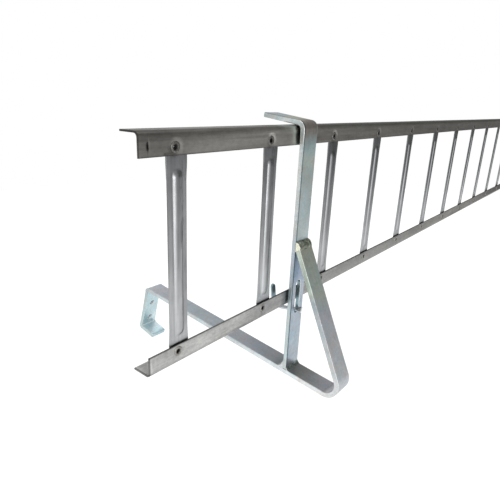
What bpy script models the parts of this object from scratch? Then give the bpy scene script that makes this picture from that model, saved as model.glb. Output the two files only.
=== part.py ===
"""Snow guard: a riveted lattice section held upright in a welded roof bracket that hooks on a batten.

Axes: X along the lattice, Y from the front (eaves) to the back (ridge), Z up along the rungs.
Lattice coordinates start at the left end of the bottom rail's front face. The whole model hangs on one
empty, which moves the origin to the batten seat: the middle of the hook plate's inner face.
"""
import math

import bmesh
import bpy
from mathutils import Matrix, Vector

# ---- driving dimensions, in metres and degrees -------------------------------------------------
GAP = 0.0003                 # kept between pieces that touch

# lattice
LATTICE_LENGTH = 1.5
LATTICE_HEIGHT = 0.2
SHEET = 0.0015               # thickness of rails and rungs
RAIL_LEG = 0.019             # rail's front leg
RAIL_FLANGE = 0.021          # rail's flange, front to back
RAIL_BEND = 0.0047           # outside radius of the rail's bend
TOP_RAIL_START = -0.0029     # top rail's left end, from the bottom rail's
RUNG_COUNT = 13
RUNG_PITCH = 0.12
FIRST_RUNG = 0.0343          # from the rail's end to the first rung's middle
RUNG_WIDTH = 0.0211          # at its ends
RUNG_WAIST = 0.0197          # beside the bead
RUNG_INSET = 0.005           # from the rail's outside to the rung's end
BEAD_BOTTOM = 0.027
BEAD_TOP = 0.169
BEAD_WIDTH = 0.0104
BEAD_HEIGHT = 0.0019
BEAD_SHOULDER = 0.008        # half the length over which the rung narrows to its waist
RIVET_OFFSET = -0.0025       # rivet's place along the rail, from the rung's middle
BOTTOM_RIVET_Z = 0.0124
TOP_RIVET_Z = 0.1873
RIVET_HOLE = 0.0048          # diameters from here
RIVET_SHANK = 0.006
RIVET_HEAD = 0.0094
RIVET_HEAD_HEIGHT = 0.0009
RIVET_FLARE = 0.0084
RIVET_FLARE_HEIGHT = 0.0008

# bracket
BAR_WIDTH = 0.025
BAR_LEFT = 0.1962            # bracket's left side along the lattice
STRAP_THICKNESS = 0.006
STRAP_TOP_Z = -0.0829        # strap's upper face at y = 0
STRAP_SLOPE = 6.2
HOOK_BEND_Y = 0.2576         # outer corner between strap and hook plate
HOOK_PLATE = 0.0771          # outside length
HOOK_LEAN = 15.1             # plate's lean from upright
HOOK_LIP = 0.0318            # outside length, square to the plate
HOOK_RADIUS = 0.0015         # inside radius of the two hook bends
SCREW_HOLE = 0.008
SCREW_HOLE_AT = (0.030, 0.058)   # from the hook's outer corner, along the plate
NOSE_RADIUS = 0.013          # inside radius
BRACE_SLOPE = 65.7
BRACE_FOOT_Y = -0.0442       # brace's outer face at z = 0
BRACE_END_GAP = 0.0006       # from the brace's inner corner to the upright
UPRIGHT_THICKNESS = 0.005
UPRIGHT_FRONT_Y = -0.0064    # upright's front face at z = 0
UPRIGHT_LEAN = 0.3           # forward, towards the top
ARM_TOP_Z = 0.2056           # arm's upper face at y = 0
ARM_SLOPE = 7.2
ARM_TIP_Y = 0.045
ARM_RADIUS = 0.004           # inside radius
SLOT_WIDTH = 0.009
SLOT_BOTTOM_Z = -0.0112
SLOT_TOP_Z = 0.0299
SLOT_END_RADIUS = 0.0044
FRONT_WELD = (0.0035, 0.004)      # foot welds: legs along the strap and up the upright
BACK_WELD = (0.008, 0.011)
WELD_HOLLOW = 0.82           # 0 is a flat fillet, 1 a full hollow quarter circle
BRACE_WELD_COVER = 0.0051    # how much of the brace's cut end the bead covers
BRACE_WELD_RISE = 0.0105     # bead's height up the upright
BRACE_WELD_BULGE = 0.0012

# locking clip, a strip bent to a J
CLIP_WIDTH = 0.007
CLIP_THICKNESS = 0.0025
CLIP_PIVOT_Y = -0.0015       # where the strip rocks on the slot's bottom edge
CLIP_PIVOT_Z = -0.0077
CLIP_DIP = 10.8              # slope of the strip where it leaves the slot
CLIP_RADIUS = 0.0139         # middle of the strip, under the rail's back edge
CLIP_BACK_Y = 0.0278         # middle of the upturned leg, at its foot
CLIP_LEAN = 0.0015           # how far back the leg's tip leans
CLIP_TIP_Z = 0.0145
CLIP_FRONT_Y = -0.0134       # end of the twisted tab
CLIP_TWIST = 50.0
CLIP_TWIST_AT = ((1.0, 1.0), (0.82, 0.9), (0.66, 0.5), (0.52, 0.1), (0.45, 0.0))   # reach, twist

ARC_STEPS = 6
ROUND_STEPS = 12
WELD_STEPS = 4
RIVET_STEPS = 10
CAPSULE_STEPS = (16, 8)      # round and along the bead's ball ends
FINE = 0.00001               # merge distance
THROUGH = 0.02               # depth of a cutter that passes right through

# ---- places worked out from them ---------------------------------------------------------------
BAR_MIDDLE = BAR_LEFT + BAR_WIDTH / 2


def direction(angle):
    """Unit vector in the YZ plane, angle in degrees from +Y towards +Z."""
    return Vector((math.cos(math.radians(angle)), math.sin(math.radians(angle))))


STRAP_WAY = direction(STRAP_SLOPE)
BRACE_WAY = direction(BRACE_SLOPE)
UPRIGHT_WAY = direction(90 + UPRIGHT_LEAN)
ARM_WAY = direction(ARM_SLOPE)
PLATE_WAY = direction(HOOK_LEAN - 90)
LIP_WAY = direction(HOOK_LEAN - 180)


def meet(point_a, way_a, point_b, way_b):
    """Crossing of two lines in the YZ plane."""
    across = way_a.x * way_b.y - way_a.y * way_b.x
    apart = point_b - point_a
    return point_a + way_a * ((apart.x * way_b.y - apart.y * way_b.x) / across)


def on_strap(y):
    return Vector((y, STRAP_TOP_Z + y * math.tan(math.radians(STRAP_SLOPE))))


def on_upright(z):
    return Vector((UPRIGHT_FRONT_Y - z * math.tan(math.radians(UPRIGHT_LEAN)), z))


HOOK_CORNER = on_strap(HOOK_BEND_Y)
PLATE_INNER = HOOK_CORNER + STRAP_THICKNESS * LIP_WAY
SEAT = PLATE_INNER + PLATE_WAY * (sum(SCREW_HOLE_AT) / 2)
ORIGIN = Vector((BAR_MIDDLE, SEAT.x, SEAT.y))


# ---- scene, materials and small helpers ---------------------------------------------------------
def clear_scene():
    for thing in list(bpy.data.objects):
        bpy.data.objects.remove(thing, do_unlink=True)


def new_collection(name):
    group = bpy.data.collections.new(name)
    bpy.context.scene.collection.children.link(group)
    return group


def new_material(name, colour, roughness, metallic):
    material = bpy.data.materials.new(name)
    material.use_nodes = True
    shader = material.node_tree.nodes["Principled BSDF"]
    shader.inputs["Base Color"].default_value = (*colour, 1.0)
    shader.inputs["Roughness"].default_value = roughness
    shader.inputs["Metallic"].default_value = metallic
    material.diffuse_color = (*colour, 1.0)
    return material


clear_scene()
PARTS = new_collection("snow_guard")
CUTTERS = new_collection("cutters")
ZINC = new_material("bright_zinc", (0.62, 0.68, 0.70), 0.32, 1.0)
WELD = new_material("zinc_weld", (0.70, 0.74, 0.72), 0.45, 1.0)
TOP_SHEET = new_material("mill_steel_top", (0.30, 0.29, 0.27), 0.5, 1.0)
BOTTOM_SHEET = new_material("mill_steel_bottom", (0.42, 0.42, 0.42), 0.45, 1.0)
RUNG_SHEET = new_material("mill_steel_rung", (0.40, 0.40, 0.40), 0.4, 1.0)
RIVET_STEEL = new_material("rivet_steel", (0.36, 0.36, 0.34), 0.45, 1.0)

FRAME = bpy.data.objects.new("snow_guard_frame", None)
FRAME.location = -ORIGIN
PARTS.objects.link(FRAME)


def add_part(name, mesh, material, origin=(0, 0, 0)):
    """One named piece in lattice coordinates, with its mesh given about its own origin."""
    piece = bpy.data.objects.new(name, mesh)
    piece.location = origin
    piece.parent = FRAME
    if not mesh.materials:
        mesh.materials.append(material)
    PARTS.objects.link(piece)
    return piece


def add_cutter(name, mesh):
    cutter = bpy.data.objects.new(name, mesh)
    cutter.parent = FRAME
    cutter.hide_render = True
    cutter.display_type = "WIRE"
    CUTTERS.objects.link(cutter)
    return cutter


def cut(piece, cutter, operation="DIFFERENCE"):
    boolean = piece.modifiers.new(operation.lower(), "BOOLEAN")
    boolean.operation = operation
    boolean.solver = "EXACT"
    boolean.object = cutter


def shade_round(mesh, angle=35):
    mesh.shade_smooth()
    mesh.set_sharp_from_angle(angle=math.radians(angle))


def settled_mesh(piece, name):
    """The piece's mesh with its modifiers or curve settings applied, and loose caps joined."""
    bpy.context.view_layer.update()
    shape = piece.evaluated_get(bpy.context.evaluated_depsgraph_get())
    mesh = bpy.data.meshes.new_from_object(shape)
    mesh.name = name
    tidy = bmesh.new()
    tidy.from_mesh(mesh)
    bmesh.ops.remove_doubles(tidy, verts=tidy.verts, dist=FINE)
    bmesh.ops.recalc_face_normals(tidy, faces=tidy.faces)
    tidy.to_mesh(mesh)
    tidy.free()
    return mesh


def extruded_mesh(name, outline, depth, turn, middle):
    """A flat outline made solid: extruded by depth about its plane, turned, and moved to middle."""
    data = bpy.data.curves.new(name, "CURVE")
    data.dimensions = "2D"
    data.fill_mode = "BOTH"
    data.extrude = depth / 2
    line = data.splines.new("POLY")
    line.points.add(len(outline) - 1)
    for point, (u, v) in zip(line.points, outline):
        point.co = (u, v, 0, 1)
    line.use_cyclic_u = True
    curve = bpy.data.objects.new(name, data)
    PARTS.objects.link(curve)
    mesh = settled_mesh(curve, name)
    bpy.data.objects.remove(curve, do_unlink=True)
    mesh.transform(Matrix.Translation(middle) @ turn)
    shade_round(mesh)
    return mesh


# outline (u, v) to (y, z), extruded along X; outline (u, v) to (x, z), extruded along Y
SIDE_ON = Matrix(((0, 0, 1, 0), (1, 0, 0, 0), (0, 1, 0, 0), (0, 0, 0, 1)))
FACE_ON = Matrix(((1, 0, 0, 0), (0, 0, -1, 0), (0, 1, 0, 0), (0, 0, 0, 1)))


def rounded(corner, before, after, radius, steps=ARC_STEPS):
    """Points of the arc that rounds a corner between two neighbouring points."""
    back = (before - corner).normalized()
    on = (after - corner).normalized()
    half = back.angle(on) / 2
    centre = corner + (back + on).normalized() * (radius / math.sin(half))
    start = corner + back * (radius / math.tan(half)) - centre
    sweep = math.pi - 2 * half
    if back.x * on.y - back.y * on.x > 0:
        sweep = -sweep
    turns = [Matrix.Rotation(sweep * k / steps, 2) for k in range(steps + 1)]
    return [centre + turn @ start for turn in turns]


def bent_outline(corners, radii):
    """Outline through corners, each inner one rounded by its radius (0 keeps it sharp)."""
    points = []
    for k, (corner, radius) in enumerate(zip(corners, radii)):
        if radius:
            points += rounded(corner, corners[k - 1], corners[(k + 1) % len(corners)], radius)
        else:
            points.append(corner)
    return points


def disc_cutter_mesh(name, radius, depth, turn, middle):
    shape = bmesh.new()
    bmesh.ops.create_cone(shape, cap_ends=True, segments=ROUND_STEPS, radius1=radius, radius2=radius,
                          depth=depth, matrix=Matrix.Translation(middle) @ turn)
    mesh = bpy.data.meshes.new(name)
    shape.to_mesh(mesh)
    shape.free()
    return mesh


# ---- bracket --------------------------------------------------------------------------------------
def make_hook_strap():
    thick = STRAP_THICKNESS
    strap_down = direction(STRAP_SLOPE - 90)
    brace_in = direction(BRACE_SLOPE - 90)
    plate_in = LIP_WAY
    lip_up = -PLATE_WAY
    strap_under = on_strap(0) + strap_down * thick
    brace_outer = Vector((BRACE_FOOT_Y, 0))
    brace_inner = brace_outer + brace_in * thick
    plate_low = HOOK_CORNER + PLATE_WAY * HOOK_PLATE
    lip_tip = plate_low + LIP_WAY * HOOK_LIP
    brace_top = meet(brace_inner, BRACE_WAY, on_upright(0), UPRIGHT_WAY) - BRACE_WAY * BRACE_END_GAP
    corners = [
        brace_top,
        meet(brace_inner, BRACE_WAY, on_strap(0), STRAP_WAY),
        HOOK_CORNER,
        plate_low,
        lip_tip,
        lip_tip + lip_up * thick,
        meet(lip_tip + lip_up * thick, LIP_WAY, HOOK_CORNER + plate_in * thick, PLATE_WAY),
        meet(strap_under, STRAP_WAY, HOOK_CORNER + plate_in * thick, PLATE_WAY),
        meet(brace_outer, BRACE_WAY, strap_under, STRAP_WAY),
        brace_top - brace_in * thick,
    ]
    outer = HOOK_RADIUS + thick
    radii = [0, NOSE_RADIUS, outer, outer, 0, 0, HOOK_RADIUS, HOOK_RADIUS, NOSE_RADIUS + thick, 0]
    outline = bent_outline(corners, radii)
    middle = Vector((BAR_MIDDLE, 0, 0))
    piece = add_part("hook_strap", extruded_mesh("hook_strap", outline, BAR_WIDTH, SIDE_ON, middle), ZINC)
    across_plate = Matrix.Rotation(math.radians(90 + HOOK_LEAN), 4, "X")
    for number, along in enumerate(SCREW_HOLE_AT, 1):
        spot = HOOK_CORNER + PLATE_WAY * along + plate_in * (thick / 2)
        mesh = disc_cutter_mesh(f"screw_hole_{number}", SCREW_HOLE / 2, THROUGH, across_plate,
                                Vector((BAR_MIDDLE, spot.x, spot.y)))
        cut(piece, add_cutter(f"screw_hole_{number}", mesh))


def make_upright():
    thick = UPRIGHT_THICKNESS
    back = direction(UPRIGHT_LEAN)
    arm_down = direction(ARM_SLOPE - 90)
    front = on_upright(0)
    rear = front + back * thick
    arm_top = Vector((0, ARM_TOP_Z))
    arm_under = arm_top + arm_down * thick
    strap_lift = on_strap(0) - direction(STRAP_SLOPE - 90) * GAP
    tip = arm_top + ARM_WAY * (ARM_TIP_Y / ARM_WAY.x)
    corners = [
        meet(front, UPRIGHT_WAY, strap_lift, STRAP_WAY),
        meet(rear, UPRIGHT_WAY, strap_lift, STRAP_WAY),
        meet(rear, UPRIGHT_WAY, arm_under, ARM_WAY),
        tip + arm_down * thick,
        tip,
        meet(front, UPRIGHT_WAY, arm_top, ARM_WAY),
    ]
    radii = [0, 0, ARM_RADIUS, 0, 0, ARM_RADIUS + thick]
    outline = bent_outline(corners, radii)
    middle = Vector((BAR_MIDDLE, 0, 0))
    piece = add_part("upright", extruded_mesh("upright", outline, BAR_WIDTH, SIDE_ON, middle), ZINC)
    half = SLOT_WIDTH / 2
    slot_corners = [
        Vector((-half, SLOT_BOTTOM_Z)),
        Vector((half, SLOT_BOTTOM_Z)),
        Vector((half, SLOT_TOP_Z)),
        Vector((-half, SLOT_TOP_Z)),
    ]
    slot = bent_outline(slot_corners, [SLOT_END_RADIUS] * len(slot_corners))
    mesh = extruded_mesh("clip_slot", slot, THROUGH, FACE_ON, Vector((BAR_MIDDLE, UPRIGHT_FRONT_Y, 0)))
    cut(piece, add_cutter("clip_slot", mesh))


def make_welds():
    """A fillet on each side of the upright's foot, and the bead that fills the V above the brace."""
    middle = Vector((BAR_MIDDLE, 0, 0))
    strap_top = on_strap(0) - direction(STRAP_SLOPE - 90) * GAP
    back = direction(UPRIGHT_LEAN)
    rear = on_upright(0) + back * (UPRIGHT_THICKNESS + GAP)
    welds = {
        "foot_weld_front": (on_upright(0) - back * GAP, -STRAP_WAY, FRONT_WELD),
        "foot_weld_back": (rear, STRAP_WAY, BACK_WELD),
    }
    for name, (face, away, (leg, height)) in welds.items():
        root = meet(face, UPRIGHT_WAY, strap_top, STRAP_WAY)
        outline = [root]
        for k in range(WELD_STEPS + 1):
            flat = k / WELD_STEPS
            swing = math.pi / 2 * flat
            out = WELD_HOLLOW * (1 - math.sin(swing)) + (1 - WELD_HOLLOW) * (1 - flat)
            rise = WELD_HOLLOW * (1 - math.cos(swing)) + (1 - WELD_HOLLOW) * flat
            outline.append(root + away * (leg * out) + UPRIGHT_WAY * (height * rise))
        mesh = extruded_mesh(name, outline, BAR_WIDTH - 2 * GAP, SIDE_ON, middle)
        add_part(name, mesh, WELD)

    face = on_upright(0) - back * GAP
    brace_in = direction(BRACE_SLOPE - 90)
    brace_inner = Vector((BRACE_FOOT_Y, 0)) + brace_in * STRAP_THICKNESS
    end = meet(brace_inner, BRACE_WAY, on_upright(0), UPRIGHT_WAY) - BRACE_WAY * (BRACE_END_GAP - GAP)
    outer = end - brace_in * BRACE_WELD_COVER
    root = meet(face, UPRIGHT_WAY, end, brace_in)
    top = root + UPRIGHT_WAY * BRACE_WELD_RISE
    outward = (top - outer).orthogonal().normalized()
    bulge = (outer + top) / 2 + outward * BRACE_WELD_BULGE
    mesh = extruded_mesh("brace_weld", [root, top, bulge, outer], BAR_WIDTH - 2 * GAP, SIDE_ON, middle)
    add_part("brace_weld", mesh, WELD)


def clip_path():
    """Middle line of the clip's strip in the YZ plane, front to back, about the pivot, and its twist."""
    pivot = Vector((CLIP_PIVOT_Y, CLIP_PIVOT_Z))
    forward = direction(180 - CLIP_DIP)
    reach = (CLIP_PIVOT_Y - CLIP_FRONT_Y) / -forward.x
    stations = []
    for along, twist in CLIP_TWIST_AT:
        stations.append((forward * (reach * along), CLIP_TWIST * twist))
    centre = Vector((CLIP_BACK_Y - CLIP_RADIUS, 0)) - pivot
    run = -forward
    drop = direction(-CLIP_DIP - 90) * CLIP_RADIUS
    centre.y = run.y / run.x * (centre.x + drop.x) - drop.y
    steps = 2 * ARC_STEPS
    for k in range(steps + 1):
        angle = -90 - CLIP_DIP + (90 + CLIP_DIP) * k / steps
        stations.append((centre + direction(angle) * CLIP_RADIUS, 0.0))
    stations.append((Vector((CLIP_BACK_Y + CLIP_LEAN, CLIP_TIP_Z)) - pivot, 0.0))
    return stations


def make_locking_clip():
    """A strip of rectangular section carried along the J and twisted at its front end."""
    section = bpy.data.curves.new("clip_section", "CURVE")
    section.dimensions = "2D"
    rectangle = section.splines.new("POLY")
    rectangle.points.add(3)
    half_thick = CLIP_THICKNESS / 2
    half_wide = CLIP_WIDTH / 2
    corners = ((-half_wide, -half_thick), (half_wide, -half_thick),
               (half_wide, half_thick), (-half_wide, half_thick))
    for point, (u, v) in zip(rectangle.points, corners):
        point.co = (u, v, 0, 1)
    rectangle.use_cyclic_u = True
    section_object = bpy.data.objects.new("clip_section", section)
    CUTTERS.objects.link(section_object)

    data = bpy.data.curves.new("clip_line", "CURVE")
    data.dimensions = "3D"
    data.twist_mode = "Z_UP"
    data.bevel_mode = "OBJECT"
    data.bevel_object = section_object
    data.use_fill_caps = True
    line = data.splines.new("POLY")
    stations = clip_path()
    line.points.add(len(stations) - 1)
    for point, (place, twist) in zip(line.points, stations):
        point.co = (0, place.x, place.y, 1)
        point.tilt = math.radians(twist)
    curve = bpy.data.objects.new("clip_line", data)
    PARTS.objects.link(curve)
    mesh = settled_mesh(curve, "locking_clip")
    bpy.data.objects.remove(curve, do_unlink=True)
    bpy.data.objects.remove(section_object, do_unlink=True)
    shade_round(mesh)
    add_part("locking_clip", mesh, ZINC, (BAR_MIDDLE, CLIP_PIVOT_Y, CLIP_PIVOT_Z))


# ---- lattice --------------------------------------------------------------------------------------
def rung_middle(number):
    return FIRST_RUNG + RUNG_PITCH * (number - 1)


def rail_outline(flange_z, leg_way):
    """Angle section in the YZ plane: leg along leg_way (+1 up, -1 down) from its flange at flange_z."""
    corners = [
        Vector((0, flange_z)),
        Vector((0, flange_z + leg_way * RAIL_LEG)),
        Vector((SHEET, flange_z + leg_way * RAIL_LEG)),
        Vector((SHEET, flange_z + leg_way * SHEET)),
        Vector((RAIL_FLANGE, flange_z + leg_way * SHEET)),
        Vector((RAIL_FLANGE, flange_z)),
    ]
    return bent_outline(corners, [RAIL_BEND, 0, 0, RAIL_BEND - SHEET, 0, 0])


def make_rail(name, start, flange_z, leg_way, rivet_z, material):
    middle = Vector((start + LATTICE_LENGTH / 2, 0, 0))
    outline = rail_outline(flange_z, leg_way)
    piece = add_part(name, extruded_mesh(name, outline, LATTICE_LENGTH, SIDE_ON, middle), material)
    across = Matrix.Rotation(math.radians(90), 4, "X")
    holes = bmesh.new()
    for number in range(1, RUNG_COUNT + 1):
        place = Matrix.Translation((rung_middle(number) + RIVET_OFFSET, SHEET / 2, rivet_z))
        radius = RIVET_SHANK / 2 + GAP
        bmesh.ops.create_cone(holes, cap_ends=True, segments=ROUND_STEPS, radius1=radius, radius2=radius,
                              depth=THROUGH, matrix=place @ across)
    mesh = bpy.data.meshes.new(f"{name}_holes")
    holes.to_mesh(mesh)
    holes.free()
    cut(piece, add_cutter(f"{name}_holes", mesh))


def capsule_mesh(name, radius, bottom, top, depth_y):
    """Round bar along Z with ball ends, its middle line at depth_y; bottom and top are the ball centres."""
    shape = bmesh.new()
    around, along = CAPSULE_STEPS
    bmesh.ops.create_uvsphere(shape, u_segments=around, v_segments=along, radius=radius)
    for vertex in shape.verts:
        vertex.co.z += top if vertex.co.z > FINE else bottom
        vertex.co.y += depth_y
    mesh = bpy.data.meshes.new(name)
    shape.to_mesh(mesh)
    shape.free()
    return mesh


def make_rung_mesh():
    """Strip with a waist, a bead pressed towards the front and its hollow behind, about x = 0."""
    low = RUNG_INSET
    high = LATTICE_HEIGHT - RUNG_INSET
    half = RUNG_WIDTH / 2
    waist = RUNG_WAIST / 2
    right = [
        (half, low),
        (half, BEAD_BOTTOM - BEAD_SHOULDER),
        (waist, BEAD_BOTTOM + BEAD_SHOULDER),
        (waist, BEAD_TOP - BEAD_SHOULDER),
        (half, BEAD_TOP + BEAD_SHOULDER),
        (half, high),
    ]
    outline = right + [(-x, z) for x, z in reversed(right)]
    front = SHEET + GAP
    middle = Vector((0, front + SHEET / 2, 0))
    blank = add_part("rung_blank", extruded_mesh("rung_blank", outline, SHEET, FACE_ON, middle), RUNG_SHEET)

    chord = BEAD_WIDTH / 2
    radius = (chord ** 2 + BEAD_HEIGHT ** 2) / (2 * BEAD_HEIGHT)
    axis_y = front - BEAD_HEIGHT + radius
    ends = (BEAD_BOTTOM + chord, BEAD_TOP - chord)
    ridge = add_cutter("bead_ridge", capsule_mesh("bead_ridge", radius, *ends, axis_y))
    cut(blank, ridge, "UNION")
    behind = bmesh.new()
    place = Matrix.Translation((0, front + SHEET + radius, LATTICE_HEIGHT / 2))
    size = Matrix.Diagonal((4 * RUNG_WIDTH, 2 * radius, 2 * LATTICE_HEIGHT, 1))
    bmesh.ops.create_cube(behind, size=1, matrix=place @ size)
    mesh = bpy.data.meshes.new("bead_back")
    behind.to_mesh(mesh)
    behind.free()
    cut(blank, add_cutter("bead_back", mesh))
    hollow = add_cutter("bead_hollow", capsule_mesh("bead_hollow", radius - SHEET, *ends, axis_y))
    cut(blank, hollow)
    across = Matrix.Rotation(math.radians(90), 4, "X")
    for name, z in (("rung_hole_low", BOTTOM_RIVET_Z), ("rung_hole_high", TOP_RIVET_Z)):
        spot = Vector((RIVET_OFFSET, front + SHEET / 2, z))
        mesh = disc_cutter_mesh(name, RIVET_SHANK / 2 + GAP, THROUGH, across, spot)
        cut(blank, add_cutter(name, mesh))
    mesh = settled_mesh(blank, "rung")
    bpy.data.objects.remove(blank, do_unlink=True)
    shade_round(mesh)
    return mesh


def make_rivet_mesh():
    """Hollow rivet turned about its axis: flange in front, rolled flare behind."""
    hole = RIVET_HOLE / 2
    shank = RIVET_SHANK / 2
    head = RIVET_HEAD / 2
    flare = RIVET_FLARE / 2
    grip = 2 * SHEET + 2 * GAP
    profile = [
        (hole, -RIVET_HEAD_HEIGHT - GAP),
        (shank, -RIVET_HEAD_HEIGHT - GAP),
        (head, -GAP),
        (shank, -GAP),
        (shank, grip),
        (flare, grip),
        (hole, grip + RIVET_FLARE_HEIGHT),
    ]
    shape = bmesh.new()
    verts = [shape.verts.new((0, y, radius)) for radius, y in profile]
    for k in range(len(verts)):
        shape.edges.new((verts[k - 1], verts[k]))
    mesh = bpy.data.meshes.new("rivet")
    shape.to_mesh(mesh)
    shape.free()
    blank = add_part("rivet_blank", mesh, RIVET_STEEL)
    screw = blank.modifiers.new("turn", "SCREW")
    screw.axis = "Y"
    screw.steps = RIVET_STEPS
    screw.render_steps = RIVET_STEPS
    screw.use_merge_vertices = True
    screw.merge_threshold = FINE
    mesh = settled_mesh(blank, "rivet")
    bpy.data.objects.remove(blank, do_unlink=True)
    shade_round(mesh)
    return mesh


def make_lattice():
    make_rail("top_rail", TOP_RAIL_START, LATTICE_HEIGHT, -1, TOP_RIVET_Z, TOP_SHEET)
    make_rail("bottom_rail", 0, 0, 1, BOTTOM_RIVET_Z, BOTTOM_SHEET)
    rung = make_rung_mesh()
    rivet = make_rivet_mesh()
    for number in range(1, RUNG_COUNT + 1):
        x = rung_middle(number)
        add_part(f"rung_{number:02d}", rung, RUNG_SHEET, (x, 0, 0))
        add_part(f"top_rivet_{number:02d}", rivet, RIVET_STEEL, (x + RIVET_OFFSET, 0, TOP_RIVET_Z))
        add_part(f"bottom_rivet_{number:02d}", rivet, RIVET_STEEL, (x + RIVET_OFFSET, 0, BOTTOM_RIVET_Z))


make_hook_strap()
make_upright()
make_welds()
make_locking_clip()
make_lattice()
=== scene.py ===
"""Looks of the snow guard: finer meshes, metal finishes, floor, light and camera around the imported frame.

Meshes are made in lattice coordinates, in metres: X from the left end of the rails, Y back from their front
faces, Z up from the underside of the bottom rail. Every piece's object stands at the corner where these
start, so a material's object coordinates are lattice coordinates too.
"""
import math

import bmesh
import bpy
from mathutils import Matrix, Vector, noise


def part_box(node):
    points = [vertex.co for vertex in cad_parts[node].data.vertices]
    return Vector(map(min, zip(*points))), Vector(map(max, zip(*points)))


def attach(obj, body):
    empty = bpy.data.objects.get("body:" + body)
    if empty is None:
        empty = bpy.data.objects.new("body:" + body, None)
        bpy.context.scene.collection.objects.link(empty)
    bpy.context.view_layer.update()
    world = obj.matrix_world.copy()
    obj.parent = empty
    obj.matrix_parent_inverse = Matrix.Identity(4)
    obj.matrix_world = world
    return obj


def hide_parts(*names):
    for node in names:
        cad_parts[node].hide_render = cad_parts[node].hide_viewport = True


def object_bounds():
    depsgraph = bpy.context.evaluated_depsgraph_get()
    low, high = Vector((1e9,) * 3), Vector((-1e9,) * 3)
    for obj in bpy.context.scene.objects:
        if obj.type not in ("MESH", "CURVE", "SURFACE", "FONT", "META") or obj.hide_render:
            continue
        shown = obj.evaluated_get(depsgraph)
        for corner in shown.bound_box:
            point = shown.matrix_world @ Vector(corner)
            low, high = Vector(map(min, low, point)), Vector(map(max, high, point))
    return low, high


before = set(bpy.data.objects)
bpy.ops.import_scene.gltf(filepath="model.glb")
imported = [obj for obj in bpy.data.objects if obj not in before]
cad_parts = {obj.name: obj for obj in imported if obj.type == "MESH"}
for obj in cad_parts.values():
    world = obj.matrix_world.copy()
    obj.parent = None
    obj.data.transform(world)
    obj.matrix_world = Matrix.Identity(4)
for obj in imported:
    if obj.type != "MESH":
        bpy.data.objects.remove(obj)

CAD_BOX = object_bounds()
MM = 0.001

# ---- places and sizes from the frame --------------------------------------
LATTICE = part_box("bottom_rail")[0]
LENGTH, FLANGE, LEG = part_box("bottom_rail")[1] - LATTICE
TOP_RAIL_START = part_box("top_rail")[0].x - LATTICE.x
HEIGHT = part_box("top_rail")[1].z - LATTICE.z
BAR_LOW, BAR_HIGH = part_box("upright")
BAR_WIDTH = BAR_HIGH.x - BAR_LOW.x
BAR_MIDDLE = (BAR_HIGH.x + BAR_LOW.x) / 2 - LATTICE.x
RUNG_NAMES = sorted(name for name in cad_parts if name.startswith("rung_"))
RIVET_NAMES = sorted(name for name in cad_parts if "_rivet_" in name)


def middle(node):
    """Middle of a CAD node's box, in lattice coordinates."""
    low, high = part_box(node)
    return (low + high) / 2 - LATTICE


# ---- the object's own dimensions that the boxes don't give ----------------
SHEET = 1.5 * MM
GAP = 0.3 * MM
RAIL_BEND = 4.7 * MM
SHEARED_EDGE = 0.25 * MM

STRAP_THICKNESS = 6 * MM
STRAP_TOP_Z = -82.9 * MM
STRAP_SLOPE = 6.2
HOOK_BEND_Y = 257.6 * MM
HOOK_PLATE = 77.1 * MM
HOOK_LEAN = 15.1
HOOK_LIP = 31.8 * MM
HOOK_RADIUS = 1.5 * MM
SCREW_HOLE = 8 * MM
SCREW_HOLE_AT = (30 * MM, 58 * MM)
NOSE_RADIUS = 13.1 * MM      # a hair over the frame's, whose arc is faceted
BRACE_SLOPE = 65.7
BRACE_FOOT_Y = -44.2 * MM
BRACE_END_GAP = 0.6 * MM
UPRIGHT_THICKNESS = 5 * MM
UPRIGHT_FRONT_Y = -6.4 * MM
UPRIGHT_LEAN = 0.3
ARM_TOP_Z = 205.6 * MM
ARM_SLOPE = 7.2
ARM_TIP_Y = 45 * MM
ARM_RADIUS = 4 * MM
SLOT_WIDTH = 9 * MM
SLOT_BOTTOM_Z = -11.2 * MM
SLOT_TOP_Z = 29.9 * MM
FRONT_WELD = (3.5 * MM, 4 * MM)
BACK_WELD = (8 * MM, 11 * MM)
WELD_HOLLOW = 0.82           # 0 is a flat fillet, 1 a full hollow quarter circle
WELD_SIDE_GAP = 0.2 * MM
WELD_BURIED = 0.4 * MM
WELD_STEP = 0.45 * MM
RIPPLE = 2.1 * MM            # distance between a weld's ripples
BRACE_WELD_RISE = 10.5 * MM
BRACE_WELD_BULGE = 2.2 * MM

CLIP_WIDTH = 7 * MM
CLIP_THICKNESS = 2.5 * MM
CLIP_PIVOT = Vector((-1.5 * MM, -7.7 * MM))
CLIP_DIP = 10.8
CLIP_RADIUS = 13.9 * MM
CLIP_BACK_Y = 27.8 * MM
CLIP_LEAN = 1.5 * MM
CLIP_TIP_Z = 14.5 * MM
CLIP_FRONT_Y = -13.4 * MM
CLIP_TWIST = 50

RIVET_HOLE = 4.8 * MM        # diameters
RIVET_ROLL = 0.45 * MM       # how far its rolled edge narrows the hole
RIVET_SHANK = 6 * MM
RIVET_HEAD = 9.4 * MM
RIVET_SEAT = 0.75 * MM       # how deep the rivets sit in their dimples
RING_HEIGHT = 0.8 * MM
FLARE_RADIUS = 4.2 * MM
DIMPLE_RADIUS = 5.6 * MM     # at half depth
DIMPLE_EDGE = 2.2 * MM       # softness
DENT_X = 5.4 * MM            # the top rail's creased spot near its left end
DENT_DEPTH = 0.35 * MM
DENT_WIDTH = 1.2 * MM

RUNG_HALF = 10.55 * MM       # half its width at its ends
RUNG_WAIST_IN = 0.7 * MM     # how far each side draws in beside the bead
RUNG_SHOULDER = 8 * MM
BEAD_BOTTOM = 27 * MM
BEAD_TOP = 169 * MM
BEAD_WIDTH = 10.4 * MM
BEAD_HEIGHT = 1.9 * MM
BEAD_FOOT = 0.5 * MM         # softness of the bead's foot

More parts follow.
